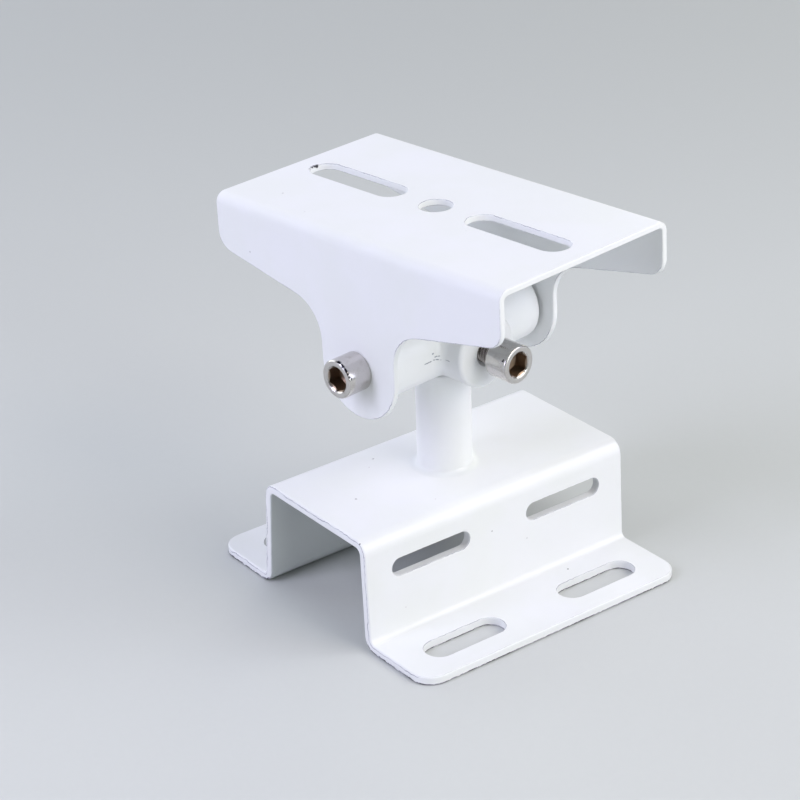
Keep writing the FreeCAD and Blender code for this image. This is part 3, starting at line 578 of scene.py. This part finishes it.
def make_screw(name, node, body, place, material, head_height=HEAD_HEIGHT):
    """A socket head screw: under its head at the origin, head along +Z, threaded shank below."""
    angles = turn_angles(TURNED_PARTS)
    thread, head = SCREW_DIAMETER / 2, HEAD_DIAMETER / 2
    rings = [[(AXIS_RADIUS, -SCREW_LENGTH + TIP_HOLLOW)] * TURNED_PARTS]
    for step in range(int((SCREW_LENGTH - THREAD_END) / SCREW_PITCH * THREAD_STEPS) + 1):
        height = -SCREW_LENGTH + step * SCREW_PITCH / THREAD_STEPS
        lead_in = min(1.0, (height + SCREW_LENGTH) / THREAD_LEAD_IN)
        run_out = min(1.0, -height / THREAD_RUN_OUT)
        ring = []
        for angle in angles:
            phase = (height / SCREW_PITCH - angle / FULL_TURN) % 1.0
            groove = min(max(FLANK_TOP - FLANK_SLOPE * abs(phase - 0.5), 0.0), 1.0)
            full = lead_in * THREAD_DEPTH + thread - THREAD_DEPTH - THREAD_PLAY
            depth = THREAD_DEPTH * (1 - groove) * run_out
            ring.append((min(full, thread - THREAD_PLAY - depth), height))
        rings.append(ring)
    neck = thread - THREAD_PLAY
    # The last corner only gives the mouth's cone its slope, and is dropped again
    corners = [(neck, -NECK), (neck, SEAT_GAP), (head, SEAT_GAP), (head, head_height),
               (SOCKET_RADIUS + MOUTH_MARGIN, head_height), (0.5, head_height - 3)]
    outline = rounded_chain(corners, HEAD_ROUNDING, closed=False, step=SCREW_STEP)[:-1]
    rings += [[(radius, height)] * TURNED_PARTS for radius, height, outward, upward in outline]
    last_radius, last_height = outline[-1][:2]
    lip = [SOCKET_FLATS * hex_radius(angle) for angle in angles]
    rings.append([(radius, last_height - (last_radius - radius)) for radius in lip])
    floor = head_height - SOCKET_DEPTH
    rings.append([(radius, floor + BEVEL_HEIGHT) for radius in lip])
    rings.append([(radius - BEVEL_WIDTH, floor + 0.02) for radius in lip])
    rings.append([(SOCKET_FLATS * DRILLED_SHARE, floor)] * TURNED_PARTS)
    rings.append([(AXIS_RADIUS, floor - SOCKET_CONE)] * TURNED_PARTS)
    points = [(radius * math.cos(angle), radius * math.sin(angle), height)
              for ring in rings for angle, (radius, height) in zip(angles, ring)]
    faces = grid_faces(len(rings), TURNED_PARTS)
    return add_piece(name, points, faces, None, place, body, "plated_screw", [node], material)


# Materials

# Most of a noise lies between these two values
NOISE_SPAN = (0.3, 0.7)
# Half the width of a hair crack
CRACK_REACH = 0.20


def link_in(tree, node, inputs):
    """Give a node's inputs, by name or number, their values or other nodes' outputs."""
    for name, value in inputs.items():
        socket = node.inputs[name]
        if isinstance(value, bpy.types.NodeSocket):
            tree.links.new(value, socket)
        else:
            socket.default_value = value
    return node


class Look:
    """The node tree of a material or world, with short calls for the nodes used here."""

    def __init__(self, owner):
        owner.use_nodes = True
        self.owner = owner
        self.tree = owner.node_tree
        self.shader = self.tree.nodes.get("Principled BSDF")
        self.places = self.tree.nodes.new("ShaderNodeTexCoord").outputs
        self.coords = self.places["Object"]

    def node(self, kind, inputs=None, **settings):
        made = self.tree.nodes.new(kind)
        for key, value in settings.items():
            setattr(made, key, value)
        return link_in(self.tree, made, inputs or {})

    def noise(self, scale, detail=2.0, roughness=0.5, coords=None):
        return self.node("ShaderNodeTexNoise", {"Vector": coords or self.coords, "Scale": scale,
                                                "Detail": detail, "Roughness": roughness}).outputs["Fac"]

    def stretch(self, scale):
        return self.node("ShaderNodeMapping", {"Vector": self.coords, "Scale": scale}).outputs["Vector"]

    def ramp(self, value, low, high, to_low=0.0, to_high=1.0):
        made = self.node("ShaderNodeMapRange", {"Value": value, "From Min": low, "From Max": high,
                                                "To Min": to_low, "To Max": to_high},
                         interpolation_type="SMOOTHSTEP")
        return made.outputs["Result"]

    def math(self, operation, first, second):
        made = self.node("ShaderNodeMath", operation=operation)
        link_in(self.tree, made, {0: first, 1: second})
        return made.outputs[0]

    def vector(self, operation, first, second=None):
        made = self.node("ShaderNodeVectorMath", operation=operation)
        link_in(self.tree, made, {0: first} if second is None else {0: first, 1: second})
        scalar = operation in ("DISTANCE", "DOT_PRODUCT", "LENGTH")
        return made.outputs["Value" if scalar else "Vector"]

    def mix(self, share, first, second):
        made = self.node("ShaderNodeMix", data_type="RGBA")
        link_in(self.tree, made, {0: share, 6: first, 7: second})
        return made.outputs[2]

    def bump(self, height, distance, onto=None):
        inputs = {"Height": height, "Distance": distance, "Strength": 1.0}
        if onto is not None:
            inputs["Normal"] = onto
        return self.node("ShaderNodeBump", inputs).outputs["Normal"]

    def attribute(self, label):
        return self.node("ShaderNodeAttribute", attribute_name=label).outputs["Fac"]

    def spot(self, place, radius, ragged):
        """A small ragged patch round a place given in millimetres."""
        away = self.vector("DISTANCE", self.coords, Vector(place) * MM)
        away = self.math("MULTIPLY", away, self.ramp(ragged, *NOISE_SPAN, 0.7, 1.5))
        return self.ramp(away, radius * 0.8 * MM, radius * 1.15 * MM, 1.0, 0.0)

    def hairline(self, start, end, ragged, reach_out=CRACK_REACH):
        """A thin line between two places, drawn for hair cracks and for painted dark reflections; its half
        width too in millimetres.
        """
        start, end = Vector(start) * MM, Vector(end) * MM
        way = (end - start).normalized()
        reach = self.vector("SUBTRACT", self.coords, start)
        along = self.vector("DOT_PRODUCT", reach, way)
        away = self.vector("LENGTH", self.vector("CROSS_PRODUCT", reach, way))
        away = self.math("MULTIPLY", away, self.ramp(ragged, *NOISE_SPAN, 0.6, 1.6))
        thin = self.ramp(away, 0.4 * reach_out * MM, reach_out * MM, 1.0, 0.0)
        length = (end - start).length
        ends = self.math("MULTIPLY", self.ramp(along, -0.1 * MM, 0.3 * MM),
                         self.ramp(along, length - 0.4 * MM, length, 1.0, 0.0))
        return self.math("MULTIPLY", thin, ends)

    def finish(self, **inputs):
        link_in(self.tree, self.shader, {name.replace("_", " "): value for name, value in inputs.items()})
        return self.owner


# Near black serves bare steel in chips, and also the painted contact shadow and painted dark reflections;
# grey serves small specks
NEAR_BLACK, GREY = (0.02, 0.02, 0.03, 1), (0.45, 0.45, 0.47, 1)
# The inner faces of a folded sheet are painted greyer, as painted shade where little light reaches them;
# the saddle's inner faces keep nearly the coat's own colour
INNER_FACE_SHADE, SADDLE_INSIDE = (0.66, 0.69, 0.69, 1), (0.80, 0.815, 0.82, 1)
COAT_WARM, COAT_COOL, SPECK = (0.785, 0.80, 0.80, 1), (0.80, 0.81, 0.83, 1), (0.52, 0.50, 0.52, 1)
EDGE_SHADE, CRACK_SHADE = (0.27, 0.26, 0.33, 1), (0.22, 0.24, 0.28, 1)
COAT_ROUGHNESS, PEEL_HEIGHT, WAVE_HEIGHT = (0.30, 0.38), 0.000012, 0.00004
SPECK_SIZE, SPECK_DEPTH = (0.016, 0.026), 0.6
# Noise scales, from soft clouds in the coat to the ragged edges of its chips
CLOUD_SCALE, SHEEN_SCALE, SPECK_SCALE, WAVE_SCALE, DRIFT_SCALE = 45.0, 60.0, 95.0, 110.0, 130.0
BREAK_SCALE, PEEL_SCALE, WANDER_SCALE, RAGGED_SCALE = 160.0, 650.0, 700.0, 2200.0
# How far an edge line wanders, in half widths: finely everywhere, and slowly where it has cracked
WANDER, DRIFT = 0.8, 1.6


def powder_coat(name, chips=(), cracks=(), inside=INNER_FACE_SHADE):
    """White semi-gloss powder coat: orange peel, faint clouds, specks, chips, thin edges, painted shade on
    inner faces and a painted contact shadow under the feet.
    """
    look = Look(bpy.data.materials.new(name))
    clouds = look.noise(CLOUD_SCALE, 3.0, 0.55)
    colour = look.mix(look.ramp(clouds, 0.35, 0.65), COAT_WARM, COAT_COOL)
    # Painted shade: inner faces and the weld's corner are mixed towards the greyer inside colour
    colour = look.mix(look.attribute("inner_shade"), colour, inside)
    cells = look.node("ShaderNodeTexVoronoi", {"Vector": look.coords, "Scale": SPECK_SCALE}).outputs
    speck = look.ramp(cells["Distance"], *SPECK_SIZE, SPECK_DEPTH, 0.0)
    colour = look.mix(speck, colour, SPECK)
    fine = look.ramp(look.noise(WANDER_SCALE, 3.0, 0.6), *NOISE_SPAN, -WANDER, WANDER)
    drift = look.ramp(look.noise(DRIFT_SCALE, 2.0), *NOISE_SPAN, -DRIFT, DRIFT)
    wander = look.math("ADD", fine, look.math("MULTIPLY", drift, look.attribute("drift")))
    track = look.math("ADD", look.attribute("crack"), wander)
    line = look.ramp(look.math("ABSOLUTE", track, 0.0), 0.35, 1.0, 1.0, 0.0)
    broken = look.ramp(look.noise(BREAK_SCALE, 2.0), 0.35, 0.6, 0.35, 1.0)
    line = look.math("MULTIPLY", line, look.math("MULTIPLY", broken, look.attribute("wear_and_contact_shade")))
    colour = look.mix(line, colour, EDGE_SHADE)
    # Lines stronger than one, the feet's painted contact shadow, darken further to near black
    colour = look.mix(look.ramp(line, 1.0, 1.8), colour, NEAR_BLACK)
    ragged = look.noise(RAGGED_SCALE, 2.0, 0.6)
    for place, radius, shade in chips:
        colour = look.mix(look.spot(place, radius, ragged), colour, shade)
    for start, end in cracks:
        colour = look.mix(look.hairline(start, end, ragged), colour, CRACK_SHADE)
    sheen = look.ramp(look.noise(SHEEN_SCALE, 3.0), *NOISE_SPAN, *COAT_ROUGHNESS)
    peel = look.bump(look.noise(PEEL_SCALE, 2.0, 0.45), PEEL_HEIGHT)
    waves = look.bump(look.noise(WAVE_SCALE, 2.0), WAVE_HEIGHT, peel)
    return look.finish(Base_Color=colour, Roughness=sheen, Normal=waves)


NICKEL, STAINED_NICKEL = (0.60, 0.58, 0.56, 1), (0.48, 0.45, 0.42, 1)
SOCKET_BROWN, THREAD_PAINTED_SHADE = (0.24, 0.18, 0.135, 1), (0.20, 0.18, 0.17, 1)
NICKEL_ROUGHNESS, SOCKET_ROUGHNESS, FACE_ROUGHNESS = (0.13, 0.24), 0.34, 0.36
# Noise scales of the turning marks, the stains and the ripples, drawn out round the head
TURNING_SCALE, STAIN_SCALE, RIPPLE_SCALE = 300.0, 420.0, 900.0
TURNING_STRETCH, RIPPLE_STRETCH, RIPPLE_HEIGHT = (1.0, 1.0, 14.0), (1.0, 1.0, 4.0), 0.000006
REFLECTION_WIDTH, RIM_INSET = 0.55, 0.05


def nickel_plate(name, head_height=HEAD_HEIGHT, painted_reflections=(), chips=()):
    """Bright nickel on turned steel, with fine marks round the head, a dark brown socket, a shank darkened
    as painted shade, and any painted dark reflections and spots given.
    """
    look = Look(bpy.data.materials.new(name))
    marks = look.noise(TURNING_SCALE, 4.0, 0.6, look.stretch(TURNING_STRETCH))
    rough = look.ramp(marks, 0.3, 0.75, *NICKEL_ROUGHNESS)
    stain = look.ramp(look.noise(STAIN_SCALE, 3.0, 0.6), 0.5, 0.8)
    colour = look.mix(stain, NICKEL, STAINED_NICKEL)
    parts = look.node("ShaderNodeSeparateXYZ", {"Vector": look.coords}).outputs
    radius = look.math("SQRT", look.math("ADD", look.math("POWER", parts["X"], 2.0),
                                         look.math("POWER", parts["Y"], 2.0)), 0.0)
    # The socket and its mouth are coloured dark brown and made rougher
    within = look.ramp(radius, SOCKET_RADIUS * MM, (SOCKET_RADIUS + 0.25) * MM, 1.0, 0.0)
    floor = head_height - SOCKET_DEPTH
    above = look.ramp(parts["Z"], (floor - 2) * MM, (floor - 1.8) * MM)
    below = look.ramp(parts["Z"], (head_height - 0.55) * MM, (head_height - 0.15) * MM, 1.0, 0.0)
    socket_dark = look.math("MULTIPLY", look.math("MULTIPLY", within, above), below)
    colour = look.mix(socket_dark, colour, SOCKET_BROWN)
    rough = look.math("MAXIMUM", rough, look.math("MULTIPLY", socket_dark, SOCKET_ROUGHNESS))
    face = look.ramp(parts["Z"], (head_height - 0.2) * MM, (head_height - 0.05) * MM, 0.0, FACE_ROUGHNESS)
    rough = look.math("MAXIMUM", rough, face)
    # Painted shade: the shank below the head is coloured darker where it sits in its hole
    thread = look.ramp(parts["Z"], -0.4 * MM, -0.2 * MM, 0.8, 0.0)
    colour = look.mix(thread, colour, THREAD_PAINTED_SHADE)
    ragged = look.noise(RAGGED_SCALE, 2.0, 0.6)
    # Painted reflections: thin dark lines where the head mirrors something dark
    for start, end in painted_reflections:
        colour = look.mix(look.hairline(start, end, ragged, REFLECTION_WIDTH), colour, NEAR_BLACK)
    for place, radius, shade in chips:
        colour = look.mix(look.spot(place, radius, ragged), colour, shade)
    ripple = look.bump(look.noise(RIPPLE_SCALE, 2.0, 0.5, look.stretch(RIPPLE_STRETCH)), RIPPLE_HEIGHT)
    return look.finish(Base_Color=colour, Roughness=rough, Normal=ripple, Metallic=1.0)


def round_head(angle, height):
    """A place on a screw head's side, close to its front rim."""
    radius = HEAD_DIAMETER / 2 - RIM_INSET
    return radius * math.cos(math.radians(angle)), radius * math.sin(math.radians(angle)), height


# Camera, floor and light

# The photograph's camera: degrees, millimetres, and the shift as a share of the sensor's width
VIEW_AZIMUTH, VIEW_ELEVATION, VIEW_ROLL = -36.9285, 26.7988, -1.7115
VIEW_TARGET, VIEW_DISTANCE = (8.1968, 23.7406, 40.6269), 727.512
VIEW_LENS, SENSOR_WIDTH, VIEW_SHIFT = 118.0456, 36.0, (-0.01796, -0.00853)
NEAREST, FARTHEST = 0.01, 50.0


def direction(azimuth, elevation):
    """Unit vector towards a place round the object; azimuth 0 is in front, along -Y."""
    around, above = math.radians(azimuth), math.radians(elevation)
    level = math.cos(above)
    return Vector((math.sin(around) * level, -math.cos(around) * level, math.sin(above)))


HORIZON, ROOM = (0.52, 0.55, 0.57, 1), (0.2, 0.2, 0.2, 1)
PAPER_FRONT, PAPER_BACK = (0.580, 0.596, 0.588, 1), (0.447, 0.462, 0.460, 1)
PAPER_ROUGHNESS, FIBRE_SHADE = 0.75, (0.42, 0.44, 0.46, 1)
FIBRE_SHARE, FIBRE_SCALE, FIBRE_HEIGHT = 0.035, 500.0, 0.00002
# In metres: where the paper is painted greyer towards the back as painted shade, and where it melts into
# the horizon
PAPER_FADE, SWEEP_FADE = (-0.10, 0.56), (0.56, 1.05)
# The horizon's pale band, as heights of the direction looked in
HORIZON_BAND = (0.08, 0.30)
FLOOR_REACH, FLOOR_DROP = 6000.0, 0.02


def seen_ray(look):
    """1 for camera, glossy and transmission rays, which see the pale surroundings."""
    path = look.node("ShaderNodeLightPath").outputs
    mirrored = look.math("MAXIMUM", path["Is Glossy Ray"], path["Is Transmission Ray"])
    return look.math("MAXIMUM", path["Is Camera Ray"], mirrored)


def make_floor():
    """A pale paper floor, painted greyer towards the back as painted shade, that meets a pale horizon far
    away.
    """
    mesh = bpy.data.meshes.new("studio_floor")
    reach = FLOOR_REACH
    corners = [(-reach, -reach, 0), (reach, -reach, 0), (reach, reach, 0), (-reach, reach, 0)]
    mesh.from_pydata([tuple(value * MM for value in corner) for corner in corners], [], [(0, 1, 2, 3)])
    floor = bpy.data.objects.new("studio_floor", mesh)
    bpy.context.scene.collection.objects.link(floor)
    floor.location.z = -FLOOR_DROP * MM
    look = Look(bpy.data.materials.new("paper_floor"))
    depth = look.vector("DOT_PRODUCT", look.coords, -direction(VIEW_AZIMUTH, 0))
    grey = look.mix(look.ramp(depth, *PAPER_FADE), PAPER_FRONT, PAPER_BACK)
    fibre = look.noise(FIBRE_SCALE, 4.0, 0.6)
    colour = look.mix(look.ramp(fibre, *NOISE_SPAN, 0.0, FIBRE_SHARE), grey, FIBRE_SHADE)
    look.finish(Base_Color=colour, Roughness=PAPER_ROUGHNESS, Normal=look.bump(fibre, FIBRE_HEIGHT))
    radius = look.vector("LENGTH", look.coords)
    far = look.math("MULTIPLY", look.ramp(radius, *SWEEP_FADE), seen_ray(look))
    glow = look.node("ShaderNodeEmission", {"Color": HORIZON})
    blend = look.node("ShaderNodeMixShader", {0: far, 1: look.shader.outputs[0], 2: glow.outputs[0]})
    look.tree.links.new(blend.outputs[0], look.tree.nodes["Material Output"].inputs["Surface"])
    mesh.materials.append(look.owner)


def make_camera():
    """The photograph's own view, rolled a little about its line of sight."""
    data = bpy.data.cameras.new("photo_camera")
    data.lens, data.sensor_width = VIEW_LENS, SENSOR_WIDTH
    data.shift_x, data.shift_y = VIEW_SHIFT
    data.clip_start, data.clip_end = NEAREST, FARTHEST
    camera = bpy.data.objects.new("photo_camera", data)
    bpy.context.scene.collection.objects.link(camera)
    back = direction(VIEW_AZIMUTH, VIEW_ELEVATION)
    turn = math.radians(VIEW_AZIMUTH)
    level = Vector((math.cos(turn), math.sin(turn), 0))
    roll = math.radians(VIEW_ROLL)
    right = level * math.cos(roll) + back.cross(level) * math.sin(roll)
    axes = Matrix((right, back.cross(right), back)).transposed()
    spot = (Vector(VIEW_TARGET) + back * VIEW_DISTANCE) * MM
    camera.matrix_world = Matrix.Translation(spot) @ axes.to_4x4()
    bpy.context.scene.camera = camera


def add_softbox(name, azimuth, elevation, width, height, power, colour):
    """A rectangular lamp that faces the object from a direction round it."""
    data = bpy.data.lights.new(name, "AREA")
    data.shape, data.size, data.size_y = "RECTANGLE", width, height
    data.energy, data.color = power, colour
    lamp = bpy.data.objects.new(name, data)
    bpy.context.scene.collection.objects.link(lamp)
    way = direction(azimuth, elevation)
    lamp.location = way * LAMP_DISTANCE + Vector((0, 0, LAMP_LIFT))
    lamp.rotation_mode = "QUATERNION"
    lamp.rotation_quaternion = way.to_track_quat("Z", "Y")


# Name, azimuth, elevation, width and height in metres, watts and colour
SOFTBOXES = [
    ("left_low", -98, 18, 0.5, 0.6, 4.3, (0.77, 0.75, 1.0)),
    ("left_high", -98, 42, 0.5, 0.6, 5.4, (0.82, 0.83, 1.0)),
    ("front_low", 0, 18, 0.5, 0.6, 4.3, (0.93, 0.99, 1.0)),
    ("right_high", 20, 40, 0.6, 0.6, 4.4, (1.0, 0.89, 0.80)),
    ("right_low", 42, 20, 0.5, 0.6, 2.3, (0.78, 0.80, 1.0)),
    ("right_side", 60, 42, 0.5, 0.6, 3.7, (0.98, 1.0, 1.0)),
    ("back_right", 120, 22, 0.6, 0.8, 2.5, (0.98, 1.0, 0.88)),
    ("back_middle", 150, 22, 0.5, 0.8, 0.9, (0.70, 0.70, 1.0)),
    ("back_left", 192, 22, 1.2, 0.8, 5.8, (0.91, 0.955, 1.0)),
    ("top", 0, 89, 1.0, 1.0, 0.8, (0.38, 0.69, 1.0)),
]
LAMP_DISTANCE, LAMP_LIFT = 1.2, 0.05


def light_world():
    """A dark room whose horizon is pale to the camera and in reflections."""
    world = bpy.data.worlds.new("studio")
    bpy.context.scene.world = world
    look = Look(world)
    height = look.node("ShaderNodeSeparateXYZ", {"Vector": look.places["Generated"]}).outputs["Z"]
    band = look.math("MULTIPLY", look.ramp(height, *HORIZON_BAND, 1.0, 0.0), seen_ray(look))
    colour = look.mix(band, ROOM, HORIZON)
    link_in(look.tree, look.tree.nodes["Background"], {"Color": colour, "Strength": 1.0})


# Places and marks

def tee_place():
    """Where the photograph shows the tee: at its axis's height, turned on the post."""
    lift = Matrix.Translation(Vector((0, 0, AXIS_HEIGHT * MM)))
    return lift @ Matrix.Rotation(math.radians(PAN_ANGLE), 4, "Z")


def screw_place(seat, axis, turn, spin):
    """A screw's place in the tee: its seat, the turn that aims it, and its own spin."""
    shift = Matrix.Translation(Vector(seat) * MM)
    return (tee_place() @ shift @ Matrix.Rotation(math.radians(turn), 4, axis)
            @ Matrix.Rotation(math.radians(spin), 4, "Z"))


# Chips and specks in the coat: place, radius and shade; hair cracks: their two ends
BASE_CHIPS = [((-43.9, -20.2, 31.3), 0.35, NEAR_BLACK), ((-30.9, -1.2, 31.8), 0.3, GREY),
              ((-14.0, 13.7, 31.8), 0.3, GREY), ((-2.2, -22.65, 20.8), 0.25, GREY),
              ((9.6, -22.9, 14.3), 0.2, GREY), ((18.6, -23.1, 2.9), 0.2, GREY),
              ((20.4, -27.3, 2.5), 0.22, NEAR_BLACK)]
SADDLE_CHIPS = [((-1.3, 46.4, 36.0), 0.45, NEAR_BLACK), ((-0.4, 46.45, 36.0), 0.48, NEAR_BLACK),
                ((0.4, 46.25, 36.0), 0.60, NEAR_BLACK), ((-2.7, 45.8, 36.0), 0.42, GREY),
                ((-19.2, 37.9, 36.1), 0.25, GREY), ((-30.3, 39.9, 22.4), 0.25, GREY)]
JOINT_CRACKS = [((-16.2, -10.0, -0.2), (-13.4, -10.0, -0.15)), ((-13.1, -10.0, 0.0), (-11.1, -10.4, -0.4)),
                ((-11.1, -10.5, -0.5), (-9.7, -13.1, -0.5)), ((-12.6, -10.0, 0.7), (-10.9, -10.6, 0.7)),
                ((-13.3, -9.9, 1.7), (-12.4, -9.9, 1.7))]

# The materials, the pieces, and what stands round them
base_coat = powder_coat("base_powder_coat", BASE_CHIPS)
tee_coat = powder_coat("tee_powder_coat", (), JOINT_CRACKS)
saddle_coat = powder_coat("saddle_powder_coat", SADDLE_CHIPS, (), SADDLE_INSIDE)
# Painted dark reflections beside the near screw's rim, and a dark spot on the lock screw's head: degrees
# round the head and height
NEAR_PAINTED_REFLECTION = [(330, 7.0), (312, 7.2), (296, 7.3), (280, 7.3), (270, 7.35), (262, 7.0), (258, 6.5)]
LOCK_DARK_SPOT, DARK_SPOT_RADIUS = (163, 6.0), 0.4
near_reflection_marks = [round_head(*mark) for mark in NEAR_PAINTED_REFLECTION]
near_nickel = nickel_plate("near_nickel_plate", NEAR_HEAD_HEIGHT, list(zip(near_reflection_marks, near_reflection_marks[1:])))
far_nickel = nickel_plate("far_nickel_plate")
lock_nickel = nickel_plate("lock_nickel_plate", chips=[(round_head(*LOCK_DARK_SPOT), DARK_SPOT_RADIUS, NEAR_BLACK)])

tee = tee_place()
make_base(base_coat)
make_post(base_coat)
make_weld(base_coat)
make_bar(tee, tee_coat)
make_arm(tee, tee_coat)
make_saddle(tee @ Matrix.Rotation(math.radians(TILT_ANGLE), 4, "X"), saddle_coat)
ear_side = SADDLE_WIDTH / 2
lock_seat = SPIGOT_DIAMETER / 2 + LOCK_TIP_GAP + SCREW_LENGTH
make_screw("near_tilt_screw", "tilt_screw_near", "swivel",
           screw_place((-ear_side, 0, 0), "Y", -90, NEAR_SOCKET_TURN), near_nickel, NEAR_HEAD_HEIGHT)
make_screw("far_tilt_screw", "tilt_screw_far", "swivel",
           screw_place((ear_side, 0, 0), "Y", 90, NEAR_SOCKET_TURN), far_nickel)
make_screw("lock_screw_piece", "pan_lock_screw", "lock_screw",
           screw_place((0, -lock_seat, 0), "X", 90, LOCK_SOCKET_TURN), lock_nickel)
make_floor()
make_camera()
for box in SOFTBOXES:
    add_softbox(*box)
light_world()
bpy.context.scene.view_settings.view_transform = "Standard"
